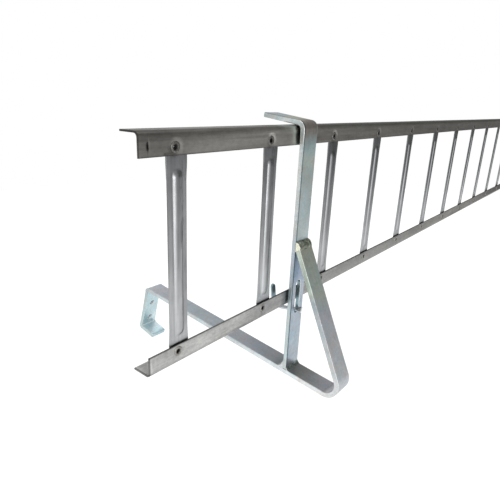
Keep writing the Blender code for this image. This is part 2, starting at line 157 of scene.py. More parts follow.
# edges and steps
BAR_EDGE = 1.0 * MM          # radius of the rolled bar's edges
CUT_EDGE = 0.5 * MM          # chamfer at a bar's cut ends
BEND_BULGE = 1.3 * MM        # how far a bar's sides swell and shrink at its sharpest bend
EDGE_STEPS = 4
FILLET_STEPS = 10
BEAD_STEPS = 12
BEND_STEP = 6                # degrees between stations round a bend
RUN_STEP = 8 * MM            # distance between stations on a straight run
RAIL_STEP = 12 * MM
RIVET_STEP = 1.3 * MM        # the same beside a rivet
DENT_STEP = 0.7 * MM         # and across a dent
HOLE_UV = 2.0                # UV distance that marks a hole's wall


# ---- lines in the YZ plane ------------------------------------------------
def smooth_step(value):
    value = max(0.0, min(1.0, value))
    return value * value * (3 - 2 * value)


def direction(angle):
    """Unit vector in the YZ plane, angle in degrees from +Y towards +Z."""
    return Vector((math.cos(math.radians(angle)), math.sin(math.radians(angle))))


STRAP_WAY = direction(STRAP_SLOPE)
BRACE_WAY = direction(BRACE_SLOPE)
UPRIGHT_WAY = direction(90 + UPRIGHT_LEAN)
ARM_WAY = direction(ARM_SLOPE)
PLATE_WAY = direction(HOOK_LEAN - 90)
LIP_WAY = direction(HOOK_LEAN - 180)
STRAP_DOWN = direction(STRAP_SLOPE - 90)
ARM_DOWN = direction(ARM_SLOPE - 90)
BRACE_IN = direction(BRACE_SLOPE - 90)
UPRIGHT_BACK = direction(UPRIGHT_LEAN)


def meet(point_a, way_a, point_b, way_b):
    """Crossing of two lines."""
    apart = point_b - point_a
    return point_a + way_a * (apart.cross(way_b) / way_a.cross(way_b))


def on_strap(y):
    return Vector((y, STRAP_TOP_Z + y * math.tan(math.radians(STRAP_SLOPE))))


def on_upright(z):
    return Vector((UPRIGHT_FRONT_Y - z * math.tan(math.radians(UPRIGHT_LEAN)), z))


BRACE_INNER = Vector((BRACE_FOOT_Y, 0)) + BRACE_IN * STRAP_THICKNESS
BRACE_TOP = meet(BRACE_INNER, BRACE_WAY, on_upright(0), UPRIGHT_WAY) - BRACE_WAY * BRACE_END_GAP


def bent_line(corners, radii):
    """Stations (place, heading, bend) along a line through corners, the inner ones rounded by their radii.
    The heading is in degrees and the bend is one over the radius, positive where the line turns left."""
    stations = []
    place = corners[0]
    for k in range(1, len(corners)):
        way = (corners[k] - corners[k - 1]).normalized()
        heading = math.degrees(math.atan2(way.y, way.x))
        turn = 0.0
        trim = 0.0
        if k < len(corners) - 1:
            onward = (corners[k + 1] - corners[k]).normalized()
            turn = math.degrees(math.atan2(way.cross(onward), way.dot(onward)))
            trim = radii[k - 1] * math.tan(math.radians(abs(turn) / 2))
        run_end = corners[k] - way * trim
        steps = max(1, round((run_end - place).length / RUN_STEP))
        stations += [(place.lerp(run_end, i / steps), heading, 0.0) for i in range(steps)]
        place = run_end
        if turn:
            side = math.copysign(1, turn)
            centre = place + direction(heading + 90) * (side * radii[k - 1])
            steps = max(2, round(abs(turn) / BEND_STEP))
            for i in range(steps + 1):
                now = heading + turn * i / steps
                spot = centre - direction(now + 90) * (side * radii[k - 1])
                stations.append((spot, now, side / radii[k - 1]))
            place = stations.pop()[0]
    stations.append((corners[-1], heading, 0.0))
    return stations


def eased(bends, passes=2):
    """The bends averaged with their neighbours, so that a bar swells gradually."""
    for _ in range(passes):
        padded = [bends[0], *bends, bends[-1]]
        bends = [(a + 2 * b + c) / 4 for a, b, c in zip(padded, padded[1:], padded[2:])]
    return bends


def wobble(*place):
    """Smooth noise at three numbers."""
    return noise.noise(Vector(place))


# ---- mesh helpers ---------------------------------------------------------
def new_object(name, data):
    made = bpy.data.objects.new(name, data)
    bpy.context.scene.collection.objects.link(made)
    return made


def as_mesh(shape, name):
    mesh = bpy.data.meshes.new(name)
    shape.to_mesh(mesh)
    shape.free()
    return mesh


def swept_mesh(name, rings, start=0.0):
    """Closed body through rings of points, capped at both ends. Its UVs are metres along and round it."""
    shape = bmesh.new()
    layer = shape.loops.layers.uv.new("along")
    rows = [[shape.verts.new(point) for point in ring] for ring in rings]
    count = len(rings[0])
    around = [0.0]
    for k in range(count):
        around.append(around[-1] + (Vector(rings[0][k - count + 1]) - Vector(rings[0][k])).length)
    along = start
    for near, far in zip(rows, rows[1:]):
        step = sum(((b.co - a.co).length for a, b in zip(near, far)), 0.0) / count
        for k in range(count):
            j = (k + 1) % count
            face = shape.faces.new((near[k], near[j], far[j], far[k]))
            spots = ((along, around[k]), (along, around[k + 1]),
                     (along + step, around[k + 1]), (along + step, around[k]))
            for loop, spot in zip(face.loops, spots):
                loop[layer].uv = spot
        along += step
    for row, at in ((rows[0], start), (rows[-1], along)):
        cap = shape.faces.new(row)
        for loop in cap.loops:
            loop[layer].uv = (at, loop.vert.co.x)
    bmesh.ops.recalc_face_normals(shape, faces=shape.faces)
    return as_mesh(shape, name)


def settled(mesh, *setups):
    """The mesh with modifiers applied: each setup is (kind, settings)."""
    piece = new_object(mesh.name, mesh)
    for kind, settings in setups:
        modifier = piece.modifiers.new(kind.lower(), kind)
        for key, value in settings.items():
            setattr(modifier, key, value)
    bpy.context.view_layer.update()
    done = bpy.data.meshes.new_from_object(piece.evaluated_get(bpy.context.evaluated_depsgraph_get()))
    done.name = mesh.name
    bpy.data.objects.remove(piece, do_unlink=True)
    return done


def cut_away(mesh, cutter_mesh):
    """The mesh less the cutter."""
    cutter = new_object("cutter", cutter_mesh)
    done = settled(mesh, ("BOOLEAN", {"operation": "DIFFERENCE", "solver": "EXACT", "object": cutter}))
    bpy.data.objects.remove(cutter, do_unlink=True)
    return done


def joined(name, meshes):
    shape = bmesh.new()
    for mesh in meshes:
        shape.from_mesh(mesh)
    return as_mesh(shape, name)


def add_piece(name, mesh, material, body, node, sharp=40):
    """A finished mesh as a piece that rides on a body and stands for a CAD node."""
    mesh.shade_smooth()
    mesh.set_sharp_from_angle(angle=math.radians(sharp))
    mesh.materials.clear()
    mesh.materials.append(material)
    piece = new_object(name, mesh)
    piece.location = LATTICE
    weighted = piece.modifiers.new("weighted_normals", "WEIGHTED_NORMAL")
    weighted.keep_sharp = True
    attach(piece, body)
    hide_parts(node)


def rounded_outline(corners, radii, steps=EDGE_STEPS, spacing=None):
    """Closed outline through corners, each rounded by its radius, with long sides split by spacing."""
    outline = []
    for k, (corner, radius) in enumerate(zip(corners, radii)):
        back = (corners[k - 1] - corner).normalized()
        on = (corners[(k + 1) % len(corners)] - corner).normalized()
        half = back.angle(on) / 2
        centre = corner + (back + on).normalized() * (radius / math.sin(half))
        start = corner + back * (radius / math.tan(half)) - centre
        sweep = math.pi - 2 * half
        if back.cross(on) > 0:
            sweep = -sweep
        for i in range(steps + 1):
            outline.append(centre + Matrix.Rotation(sweep * i / steps, 2) @ start)
    if spacing is None:
        return outline
    split = []
    for here, there in zip(outline, outline[1:] + outline[:1]):
        count = max(1, round((there - here).length / spacing))
        split += [here.lerp(there, i / count) for i in range(count)]
    return split


def bar_section(width, thickness, edge=BAR_EDGE):
    """Round-edged rectangle as (across, out) points."""
    half_x = width / 2
    half_n = thickness / 2
    corners = [Vector((half_x, -half_n)), Vector((half_x, half_n)),
               Vector((-half_x, half_n)), Vector((-half_x, -half_n))]
    return rounded_outline(corners, [edge] * 4)


def flat_bar_mesh(name, stations, width, thickness, tilt=0.0):
    """A flat bar bent along stations. Its sides swell inside a bend and shrink outside it, its cut ends are
    chamfered, and tilt slants the first end's cut, in degrees."""
    section = bar_section(width, thickness)
    small = bar_section(width - 2 * CUT_EDGE, thickness - 2 * CUT_EDGE, BAR_EDGE - CUT_EDGE / 2)
    bends = eased([bend for _, _, bend in stations])
    sharpest = 1 / (HOOK_RADIUS + STRAP_THICKNESS / 2)
    rings = []
    last = len(stations) - 1
    for k, ((place, heading, _), bend) in enumerate(zip(stations, bends)):
        way = direction(heading)
        out = direction(heading + 90)

        def ring(points, shift):
            made = []
            for x, n in points:
                swell = BEND_BULGE * (bend / sharpest) * (n / (thickness / 2))
                x += math.copysign(swell, x)
                slant = n * math.tan(math.radians(tilt)) if k == 0 else 0.0
                spot = place + out * n + way * (shift + slant)
                made.append((BAR_MIDDLE + x, spot.x, spot.y))
            return made

        if k == 0:
            rings.append(ring(small, 0.0))
            rings.append(ring(section, CUT_EDGE))
        elif k == last:
            rings.append(ring(section, -CUT_EDGE))
            rings.append(ring(small, 0.0))
        else:
            rings.append(ring(section, 0.0))
    return swept_mesh(name, rings)


def stadium(half_width, half_straight, steps=10):
    """Long-hole outline as (across, along) points; a circle where half_straight is 0."""
    outline = []
    for sign in (1, -1):
        for i in range(steps + 1):
            angle = math.pi * i / steps + (0 if sign > 0 else math.pi)
            outline.append((half_width * math.cos(angle),
                            sign * half_straight + half_width * math.sin(angle)))
    if half_straight == 0:
        outline = [outline[k] for k in range(len(outline)) if k not in (steps, 2 * steps + 1)]
    return outline


def hole_cutter(name, place, up, half_width, half_straight, thickness, rim=0.5 * MM):
    """Cutter for a hole with rounded rims through a plate whose middle is at place and whose plane runs
    along X and up."""
    through = Vector((up.y, -up.x))
    depths = []
    for i in range(EDGE_STEPS + 1):
        swing = math.pi / 2 * i / EDGE_STEPS
        depths.append((thickness / 2 - rim * (1 - math.cos(swing)), rim * (1 - math.sin(swing))))
    depths.insert(0, (thickness / 2 + rim, 2 * rim))
    depths += [(-depth, grow) for depth, grow in reversed(depths)]
    rings = []
    for depth, grow in depths:
        ring = []
        for x, z in stadium(half_width + grow, half_straight):
            spot = place + up * z + through * depth
            ring.append((BAR_MIDDLE + x, spot.x, spot.y))
        rings.append(ring)
    return swept_mesh(name, rings, HOLE_UV)


# ---- node helpers ---------------------------------------------------------
def add_node(kind, inputs, **settings):
    """A node with its settings and inputs, in the tree that its inputs come from; an input is a value or
    another node's output."""
    tree = next(value.id_data for value in inputs.values() if isinstance(value, bpy.types.NodeSocket))
    made = tree.nodes.new(kind)
    for key, value in settings.items():
        setattr(made, key, value)
    for key, value in inputs.items():
        if isinstance(value, bpy.types.NodeSocket):
            tree.links.new(value, made.inputs[key])
        else:
            made.inputs[key].default_value = value
    return made


def ramp(factor, stops):
    """Colour ramp output; a stop is (position, grey or colour)."""
    made = add_node("ShaderNodeValToRGB", {"Fac": factor})
    elements = made.color_ramp.elements
    elements.remove(elements[1])
    for k, (position, colour) in enumerate(stops):
        element = elements[0] if k == 0 else elements.new(position)
        element.position = position
        shade = colour if isinstance(colour, tuple) else (colour, colour, colour)
        element.color = (*shade, 1.0)
    return made.outputs["Color"]


def mix(share, first, second, mode="MIX"):
    colours = {0: share, 6: first, 7: second}
    return add_node("ShaderNodeMix", colours, data_type="RGBA", blend_type=mode).outputs[2]


def times(colour, *shades):
    """A colour multiplied by each shade in turn."""
    for shade in shades:
        colour = mix(1.0, colour, shade, "MULTIPLY")
    return colour


def layered(colour, layers):
    """A colour multiplied by a ramp over each layer's pattern; a layer is (strength, pattern, stops)."""
    for strength, pattern, stops in layers:
        colour = mix(strength, colour, ramp(pattern, stops), "MULTIPLY")
    return colour


def maths(operation, first, second=0.0, third=0.0):
    return add_node("ShaderNodeMath", {0: first, 1: second, 2: third}, operation=operation).outputs[0]


def unit(value, low, high):
    """0 where the value is at low or below, 1 where it is at high or above."""
    return add_node("ShaderNodeMapRange", {0: value, 1: low, 2: high, 3: 0.0, 4: 1.0}).outputs[0]


def parts(vector):
    """The three numbers of a vector."""
    return add_node("ShaderNodeSeparateXYZ", {0: vector}).outputs


def grain(vector, scale, detail=4.0, roughness=0.55, distortion=0.0, stretch=(1, 1, 1)):
    """Noise over coordinates stretched by a factor for each axis."""
    mapped = add_node("ShaderNodeMapping", {"Vector": vector, "Scale": stretch}).outputs[0]
    made = add_node("ShaderNodeTexNoise", {"Vector": mapped, "Scale": scale, "Detail": detail,
                                           "Roughness": roughness, "Distortion": distortion})
    return made.outputs["Fac"]


# ---- finishes -------------------------------------------------------------
def metal(name):
    """A new metal material, with object coordinates and the UVs along the piece."""
    material = bpy.data.materials.new(name)
    material.use_nodes = True
    tree = material.node_tree
    tree.nodes["Principled BSDF"].inputs["Metallic"].default_value = 1.0
    place = tree.nodes.new("ShaderNodeTexCoord").outputs["Object"]
    uvs = tree.nodes.new("ShaderNodeUVMap")
    uvs.uv_map = "along"
    return material, place, uvs.outputs[0]


def finished(material, colour, rough, relief, strength, depth):
    """The material with its colour, roughness and bumps plugged in."""
    tree = material.node_tree
    shader = tree.nodes["Principled BSDF"]
    bump = add_node("ShaderNodeBump", {"Height": relief, "Strength": strength, "Distance": depth})
    for socket, value in (("Base Color", colour), ("Roughness", rough), ("Normal", bump.outputs[0])):
        tree.links.new(value, shader.inputs[socket])
    return material


def nearing_side(x):
    """0 across the middle of a bar, rising to 1 at its two sides."""
    off_middle = maths("ABSOLUTE", maths("SUBTRACT", x, BAR_MIDDLE))
    return unit(off_middle, BAR_WIDTH / 2 - 3 * BAR_EDGE, BAR_WIDTH / 2)


def bright_zinc(name, length, tints, side_light_tints, hole_shade_tint, edge_reflection):
    """Bright zinc plating on a rolled bar: tints that drift along its faces and sides, with painted light
    and shade worked into them, stains, mottling, rolling lines, duller patches, a painted reflection along
    its left edge, and hole walls in painted shade with a painted highlight towards one rim. tints are
    (distance along, colour)."""
    material, place, along = metal(name)
    distance = parts(along)[0]
    drift = maths("MULTIPLY_ADD", distance, 1 / length, -0.05)
    drift = maths("MULTIPLY_ADD", grain(place, 22, 3), 0.1, drift)
    faces = ramp(drift, [(spot / length, tint) for spot, tint in tints])
    # the sides' tints carry painted light and shade: lighter or darker than the faces by how light falls on
    # them
    sides = ramp(drift, [(spot / length, tint) for spot, tint in side_light_tints])
    x = parts(place)[0]
    to_side = nearing_side(x)
    base = mix(ramp(to_side, [(0.75, 0.0), (0.9, 1.0)]), faces, sides)
    # painted reflection: a darker band along the rounded left edge
    line = ramp(to_side, [(0.2, 1.0), (0.42, edge_reflection), (0.88, edge_reflection), (0.97, 1.0)])
    base = mix(maths("LESS_THAN", x, BAR_MIDDLE), base, line, "MULTIPLY")
    # hole walls: painted shade inside, rising to a painted highlight towards one rim
    into_hole = unit(distance, HOLE_UV, HOLE_UV + 8 * MM)
    wall = ramp(into_hole, [(0.5, hole_shade_tint), (0.7, (0.9, 0.95, 0.95))])
    base = mix(maths("GREATER_THAN", distance, HOLE_UV / 2), base, wall)
    mottle = grain(place, 420, 3, 0.6)
    clouds = grain(place, 55, 4, 0.6, 0.6)
    patches = grain(place, 130, 4, 0.65, 1.2)
    lines = grain(along, 3, 5, 0.65, stretch=(4, 260, 1))
    stain = grain(place, 70, 3, 0.55, 0.8)
    colour = layered(base, [
        (1.0, mottle, [(0.3, 0.9), (0.7, 1.04)]),
        (1.0, clouds, [(0.3, 0.88), (0.65, 1.03)]),
        (1.0, patches, [(0.3, (0.84, 0.86, 0.88)), (0.48, 1.0)]),
        (0.7, lines, [(0.3, 0.86), (0.6, 1.02)]),
        (0.45, stain, [(0.34, (1.0, 0.93, 0.87)), (0.48, 1.0), (0.64, (0.85, 1.0, 1.04))]),
    ])
    rough = mix(0.5, ramp(clouds, [(0.25, 0.46), (0.75, 0.32)]),
                ramp(mottle, [(0.25, 0.44), (0.75, 0.32)]))
    return finished(material, colour, rough, mix(0.5, mottle, lines), 0.12, 0.4 * MM)


def zinc_weld(name, tints, end_highlight):
    """Plated weld bead, mottled in three tints from its hollows to its crests, with a painted highlight at
    its ends.
    """
    material, place, _ = metal(name)
    lumps = grain(place, 260, 4, 0.6, 0.5)
    spots = grain(place, 900, 3, 0.6)
    colour = ramp(lumps, list(zip((0.3, 0.5, 0.72), tints)))
    # painted highlight towards both ends of the bead
    highlight_at_end = ramp(nearing_side(parts(place)[0]), [(0.75, 0.0), (0.95, 1.0)])
    colour = mix(highlight_at_end, colour, (*end_highlight, 1.0))
    colour = layered(colour, [(1.0, spots, [(0.3, 0.8), (0.6, 1.05)])])
    return finished(material, colour, ramp(lumps, [(0.3, 0.5), (0.7, 0.26)]), lumps, 0.3, 0.6 * MM)


def mill_sheet(name, light, dark, stretch, streak_depth, speckle, marks_and_light):
    """Mill-finish sheet steel: rolling streaks along the sheet, clouds, smudges and fine scratches, and a
    function of the piece that gives its own spots together with painted light and shade, as a colour to
    multiply by."""
    material, place, along = metal(name)
    shader = material.node_tree.nodes["Principled BSDF"]
    shader.inputs["Specular Tint"].default_value = (0.6, 0.6, 0.6, 1.0)
    streaks = grain(place, 90, 6, 0.65, 0.2, stretch)
    fine = grain(place, 420, 4, 0.7, 0.0, stretch)
    clouds = grain(place, 28, 5, 0.6, 0.8)
    smudges = grain(place, 24, 3, 0.5, 1.5, stretch)
    specks = grain(place, 340, 4, 0.7, 0.0, (0.6, 1, 1))
    colour = layered(ramp(clouds, [(0.3, dark), (0.68, light)]), [
        (streak_depth, streaks, [(0.32, 0.62), (0.6, 1.05)]),
        (0.6, fine, [(0.3, 0.78), (0.6, 1.04)]),
        (0.8, smudges, [(0.30, 0.62), (0.42, 1.0)]),
        (speckle, specks, [(0.34, 0.74), (0.58, 1.06)]),
    ])
    colour = times(colour, marks_and_light(place, along))
    rough = mix(0.5, ramp(clouds, [(0.3, 0.38), (0.7, 0.27)]),
                ramp(streaks, [(0.3, 0.42), (0.7, 0.26)]))
    return finished(material, colour, rough, mix(0.4, streaks, fine), 0.15, 0.3 * MM)


def spot_mark(place, centre, reach, dark):
    """Ragged dark oval round a place: 1 outside it and dark inside. reach is its half size on each axis."""
    ragged = maths("SUBTRACT", grain(place, 700, 3, 0.6), 0.5)
    shift = [-c / r for c, r in zip(centre, reach)]
    scaled = {"Vector": place, "Scale": [1 / r for r in reach], "Location": shift}
    away = add_node("ShaderNodeMapping", scaled).outputs[0]
    far = add_node("ShaderNodeVectorMath", {0: away}, operation="LENGTH").outputs["Value"]
    far = maths("MULTIPLY_ADD", ragged, 1.2, far)
    return ramp(maths("MULTIPLY", far, 0.5), [(0.2, dark), (0.5, 1.0)])


def darker_at_edge(distance, width, dark):
    """1 away from an edge and dark at it."""
    return ramp(unit(distance, 0.0, width), [(0.3, dark), (1.0, 1.0)])


def top_rail_marks_and_light(place, along):
    """Painted shade in the crease near the left end, a dark streak below and left of the first rivet, a
    painted reflection of the bracket on the rail beside it, painted shade on the top bend, and darkening
    along the leg's lower edge and at the end."""
    rivet = middle("top_rivet_01")
    x, _, z = parts(place)
    bend = unit(z, HEIGHT - RAIL_BEND, HEIGHT)
    from_end = maths("SUBTRACT", x, TOP_RAIL_START)
    beside = maths("DIVIDE", maths("SUBTRACT", BAR_MIDDLE - BAR_WIDTH / 2, x), 30 * MM)
    # painted reflection of the bracket's plated side on the rail's leg and bend beside it
    leg_reflection = ramp(beside, [(0.0, 1.0), (0.04, (1.7, 1.8, 1.75)), (0.12, (1.6, 1.7, 1.65)),
                            (0.3, 1.1), (0.4, 1.0)])
    bend_reflection = ramp(beside, [(0.0, 1.0), (0.04, (2.0, 2.2, 2.15)), (0.7, (1.7, 1.85, 1.8)),
                             (0.95, 1.0)])
    run = maths("DIVIDE", from_end, LENGTH)
    return times(
        # painted shade in the crease near the left end
        spot_mark(place, (DENT_X, 0.0, HEIGHT - 11 * MM), (1.5 * MM, 9 * MM, 4.6 * MM), 0.1),
        spot_mark(place, (DENT_X, 0.0, HEIGHT - 12 * MM), (0.5 * MM, 9 * MM, 10 * MM), 0.55),
        spot_mark(place, (rivet.x - 9 * MM, 0.0, rivet.z - 4.5 * MM), (5 * MM, 9 * MM, 1.6 * MM),
                  0.6),
        darker_at_edge(maths("SUBTRACT", z, HEIGHT - LEG), 1.2 * MM, 0.55),
        darker_at_edge(from_end, 0.9 * MM, 0.45),
        # painted shade on the top bend
        ramp(bend, [(0.2, 1.0), (0.7, 0.66)]),
        mix(bend, leg_reflection, bend_reflection),
        # along the rail: darker at the left end, brighter just left of the bracket as painted reflection, a
        # little darker beyond
        ramp(run, [(0.01, 0.6), (0.05, 0.95), (0.12, 1.15), (0.16, 1.0), (0.5, 0.9)]),
    )


def bottom_rail_marks_and_light(place, along):
    """Dark upper edge, dark cut end with a painted highlight strip beside it, a dark spot at its lower
    corner, and darker towards the right.
    """
    x, _, z = parts(place)
    cut = maths("DIVIDE", x, 5 * MM)
    run = maths("DIVIDE", x, LENGTH)
    return times(
        darker_at_edge(maths("SUBTRACT", LEG, z), 1.1 * MM, 0.35),
        spot_mark(place, (1.5 * MM, 0.0, 2.0 * MM), (3 * MM, 9 * MM, 2.6 * MM), 0.5),
        # painted highlight: a bright strip just in from the darker cut end
        ramp(cut, [(0.06, 0.45), (0.16, 0.6), (0.24, 1.3), (0.5, 1.15), (0.8, 1.0)]),
        ramp(run, [(0.0, 0.96), (0.07, 0.92), (0.13, 0.82), (0.2, 0.68), (0.5, (0.56, 0.55, 0.53))]),
    )


def rung_light_and_smudges(place, along):
    """Painted light and shade across the rung: painted shade in lines at the bead's foot, a painted
    highlight streak on its left flank, painted shade on its right flank and flats, smudges to the right of
    it, darker edges, and painted shade at the rails. The UVs are the height and the distance across from
    the middle."""
    height, off_middle, _ = parts(along)
    across = unit(off_middle, -RUNG_HALF, RUNG_HALF)
    left = 0.5 - BEAD_WIDTH / 4 / RUNG_HALF
    right = 1 - left
    # painted light and shade across the bead: shade lines at its foot, a highlight streak on its left
    # flank, its right flank and the flats darker
    lines = ramp(across, [
        (0.01, 0.3), (0.06, 0.5), (0.14, 0.52), (left - 0.05, 0.46), (left, 0.3), (left + 0.03, 0.95),
        (0.3, 1.0), (0.34, 0.8), (0.38, 0.55), (0.43, 0.41), (0.53, 0.47), (0.64, 0.64),
        (right - 0.04, 0.74), (right, 0.58), (right + 0.04, 0.68), (0.92, 0.64), (0.99, 0.42)])
    on_bead = ramp(unit(height, BEAD_BOTTOM, BEAD_TOP),
                   [(0.0, 0.0), (0.03, 1.0), (0.97, 1.0), (1.0, 0.0)])
    shade = mix(on_bead, (0.56, 0.56, 0.56, 1), lines)
    drawn = grain(place, 170, 5, 0.7, 0.8, (1, 1, 0.22))
    where = ramp(across, [(0.5, 0.0), (0.62, 0.9), (0.82, 0.5), (0.95, 0.2)])
    smudges = mix(where, (1, 1, 1, 1), ramp(drawn, [(0.40, 0.4), (0.48, 1.0)]))
    shade = mix(0.8, shade, smudges, "MULTIPLY")
    rise = unit(height, 0.0, HEIGHT)
    # the painted light and shade fade out towards the bottom
    shade = mix(ramp(rise, [(0.12, 0.7), (0.28, 0.55), (0.48, 0.0)]), shade, (1, 1, 1, 1))
    top = (HEIGHT - LEG) / HEIGHT
    low = LEG / HEIGHT
    # painted shade behind and just above the bottom rail, and darkening towards the top rail
    return times(shade, ramp(rise, [
        (0.0, 0.25), (low + 0.002, 0.25), (low + 0.012, 0.85), (low + 0.03, 1.0), (top - 0.35, 0.97),
        (top - 0.18, 0.86), (top - 0.06, 0.79), (top, 0.74)]))


def rivet_steel(name):
    """Plain steel, painted black deep inside the rivet's hole as shade, and darker on the upper rivets. The
    UVs are distance from its axis and depth.
    """
    material, place, along = metal(name)
    blotches = grain(place, 500, 4, 0.6, 0.5)
    colour = ramp(blotches, [(0.3, (0.24, 0.23, 0.21)), (0.6, (0.40, 0.39, 0.37)),
                             (0.75, (0.48, 0.48, 0.46))])
    out, depth, _ = parts(along)
    on_ring = ramp(unit(out, RIVET_HOLE / 2, RIVET_HEAD / 2), [(0.1, 0.0), (0.45, 1.0)])
    # painted shade: the hole darkens with depth
    inside = ramp(unit(depth, 0.0, 3 * MM), [(0.1, 0.5), (0.45, 0.12), (0.8, 0.02)])
    colour = times(colour, mix(on_ring, inside, (0.9, 0.9, 0.9, 1)))
    height = maths("DIVIDE", parts(place)[2], HEIGHT)
    colour = layered(colour, [(1.0, height, [(0.4, 1.0), (0.6, 0.5)])])
    rough = ramp(blotches, [(0.3, 0.55), (0.7, 0.32)])
    return finished(material, colour, rough, blotches, 0.2, 0.3 * MM)


# ---- bracket --------------------------------------------------------------
def make_hook_strap(material):
    """Brace, strap, hook plate and lip: one flat bar."""
    half = STRAP_THICKNESS / 2
    strap_middle = on_strap(0) + STRAP_DOWN * half
    brace_middle = BRACE_TOP - BRACE_IN * half
    hook_corner = on_strap(HOOK_BEND_Y)
    plate_middle = hook_corner + LIP_WAY * half
    plate_low = hook_corner + PLATE_WAY * HOOK_PLATE
    lip_middle = plate_low - PLATE_WAY * half
    corners = [
        brace_middle,
        meet(brace_middle, BRACE_WAY, strap_middle, STRAP_WAY),
        meet(strap_middle, STRAP_WAY, plate_middle, PLATE_WAY),
        meet(plate_middle, PLATE_WAY, lip_middle, LIP_WAY),
        lip_middle + LIP_WAY * HOOK_LIP,
    ]
    tight = HOOK_RADIUS + half
    stations = bent_line(corners, [NOSE_RADIUS + half, tight, tight])
    mesh = flat_bar_mesh("hook_strap_bar", stations, BAR_WIDTH, STRAP_THICKNESS)
    cutters = []
    for along in SCREW_HOLE_AT:
        spot = plate_middle + PLATE_WAY * along
        cutters.append(hole_cutter("screw_hole", spot, -PLATE_WAY, SCREW_HOLE / 2, 0, STRAP_THICKNESS))
    mesh = cut_away(mesh, joined("screw_holes", cutters))
    add_piece("hook_strap_bar", mesh, material, "bracket", "hook_strap")


def make_upright(material):
    """Upright and arm: one flat bar with the clip's slot."""
    half = UPRIGHT_THICKNESS / 2
    upright_middle = on_upright(0) + UPRIGHT_BACK * half
    arm_middle = Vector((0, ARM_TOP_Z)) + ARM_DOWN * half
    strap_lift = on_strap(0) - STRAP_DOWN * GAP
    corners = [
        meet(upright_middle, UPRIGHT_WAY, strap_lift, STRAP_WAY),
        meet(upright_middle, UPRIGHT_WAY, arm_middle, ARM_WAY),
        arm_middle + ARM_WAY * (ARM_TIP_Y / ARM_WAY.x),
    ]
    stations = bent_line(corners, [ARM_RADIUS + half])
    mesh = flat_bar_mesh("upright_bar", stations, BAR_WIDTH, UPRIGHT_THICKNESS, UPRIGHT_LEAN - STRAP_SLOPE)
    centre_z = (SLOT_BOTTOM_Z + SLOT_TOP_Z) / 2
    half_straight = (SLOT_TOP_Z - SLOT_BOTTOM_Z - SLOT_WIDTH) / 2
    slot = hole_cutter("clip_slot", on_upright(centre_z) + UPRIGHT_BACK * half, UPRIGHT_WAY, SLOT_WIDTH / 2,
                       half_straight, UPRIGHT_THICKNESS)
    add_piece("upright_bar", cut_away(mesh, slot), material, "bracket", "upright")


def weld_mesh(name, outline, depth, uneven):
    """A weld bead across the bar: its outline, seen from the side, swells and shrinks in ripples.

    The first two points are buried in the bars and stay where they are."""
    core = sum(outline, Vector((0, 0))) / len(outline)
    half = BAR_WIDTH / 2 - WELD_SIDE_GAP
    steps = round(2 * half / WELD_STEP)
    rings = []
    for i in range(steps + 1):
        x = -half + 2 * half * i / steps
        end = max(0.0, 1 - (half - abs(x)) / (1.6 * MM))
        ring = []
        for k, point in enumerate(outline):
            out = point - core
            ripple = depth * math.sin(2 * math.pi * x / RIPPLE + 1.2 * math.sin(k))
            lump = uneven * wobble(x * 260, point.x * 200, point.y * 200)
            grow = 0.0 if k < 2 else ripple + lump - end * end * 0.9 * MM
            spot = point + out.normalized() * grow
            ring.append((BAR_MIDDLE + x, spot.x, spot.y))
        rings.append(ring)
    return swept_mesh(name, rings)


def make_foot_weld(node, face, away, legs, material):
    """Hollow fillet between the strap and one side of the upright."""
    leg, height = legs
    root = meet(face, UPRIGHT_WAY, on_strap(0), STRAP_WAY)
    under = root - UPRIGHT_WAY * WELD_BURIED
    outline = [under - away * WELD_BURIED, under + away * leg]
    for k in range(FILLET_STEPS + 1):
        flat = k / FILLET_STEPS
        swing = math.pi / 2 * flat
        out = WELD_HOLLOW * (1 - math.sin(swing)) + (1 - WELD_HOLLOW) * (1 - flat)
        rise = WELD_HOLLOW * (1 - math.cos(swing)) + (1 - WELD_HOLLOW) * flat
        outline.append(root + away * (leg * out) + UPRIGHT_WAY * (height * rise))
    outline.append(root + UPRIGHT_WAY * height - away * WELD_BURIED)
    mesh = weld_mesh(f"{node}_bead", outline, 0.12 * MM, 0.35 * MM)
    add_piece(f"{node}_bead", mesh, material, "bracket", node)


def make_brace_weld(material):
    """The bead in the V above the brace's end."""
    outer = BRACE_TOP - BRACE_IN * (STRAP_THICKNESS + 0.15 * MM) - BRACE_WAY * MM
    top = meet(on_upright(0), UPRIGHT_WAY, BRACE_TOP, BRACE_IN) + UPRIGHT_WAY * BRACE_WELD_RISE
    outline = [
        BRACE_TOP - BRACE_WAY * (1.2 * MM) + BRACE_IN * (0.5 * MM),
        outer - BRACE_WAY * (0.6 * MM) + BRACE_IN * MM,
    ]
    outward = direction(140) * BRACE_WELD_BULGE
    for k in range(BEAD_STEPS + 1):
        flat = k / BEAD_STEPS
        outline.append(outer.lerp(top, flat) + outward * math.sin(math.pi * flat))
    outline.append(top + direction(0) * (0.6 * MM))
    mesh = weld_mesh("brace_weld_bead", outline, 0.2 * MM, 0.9 * MM)
    add_piece("brace_weld_bead", mesh, material, "bracket", "brace_weld")


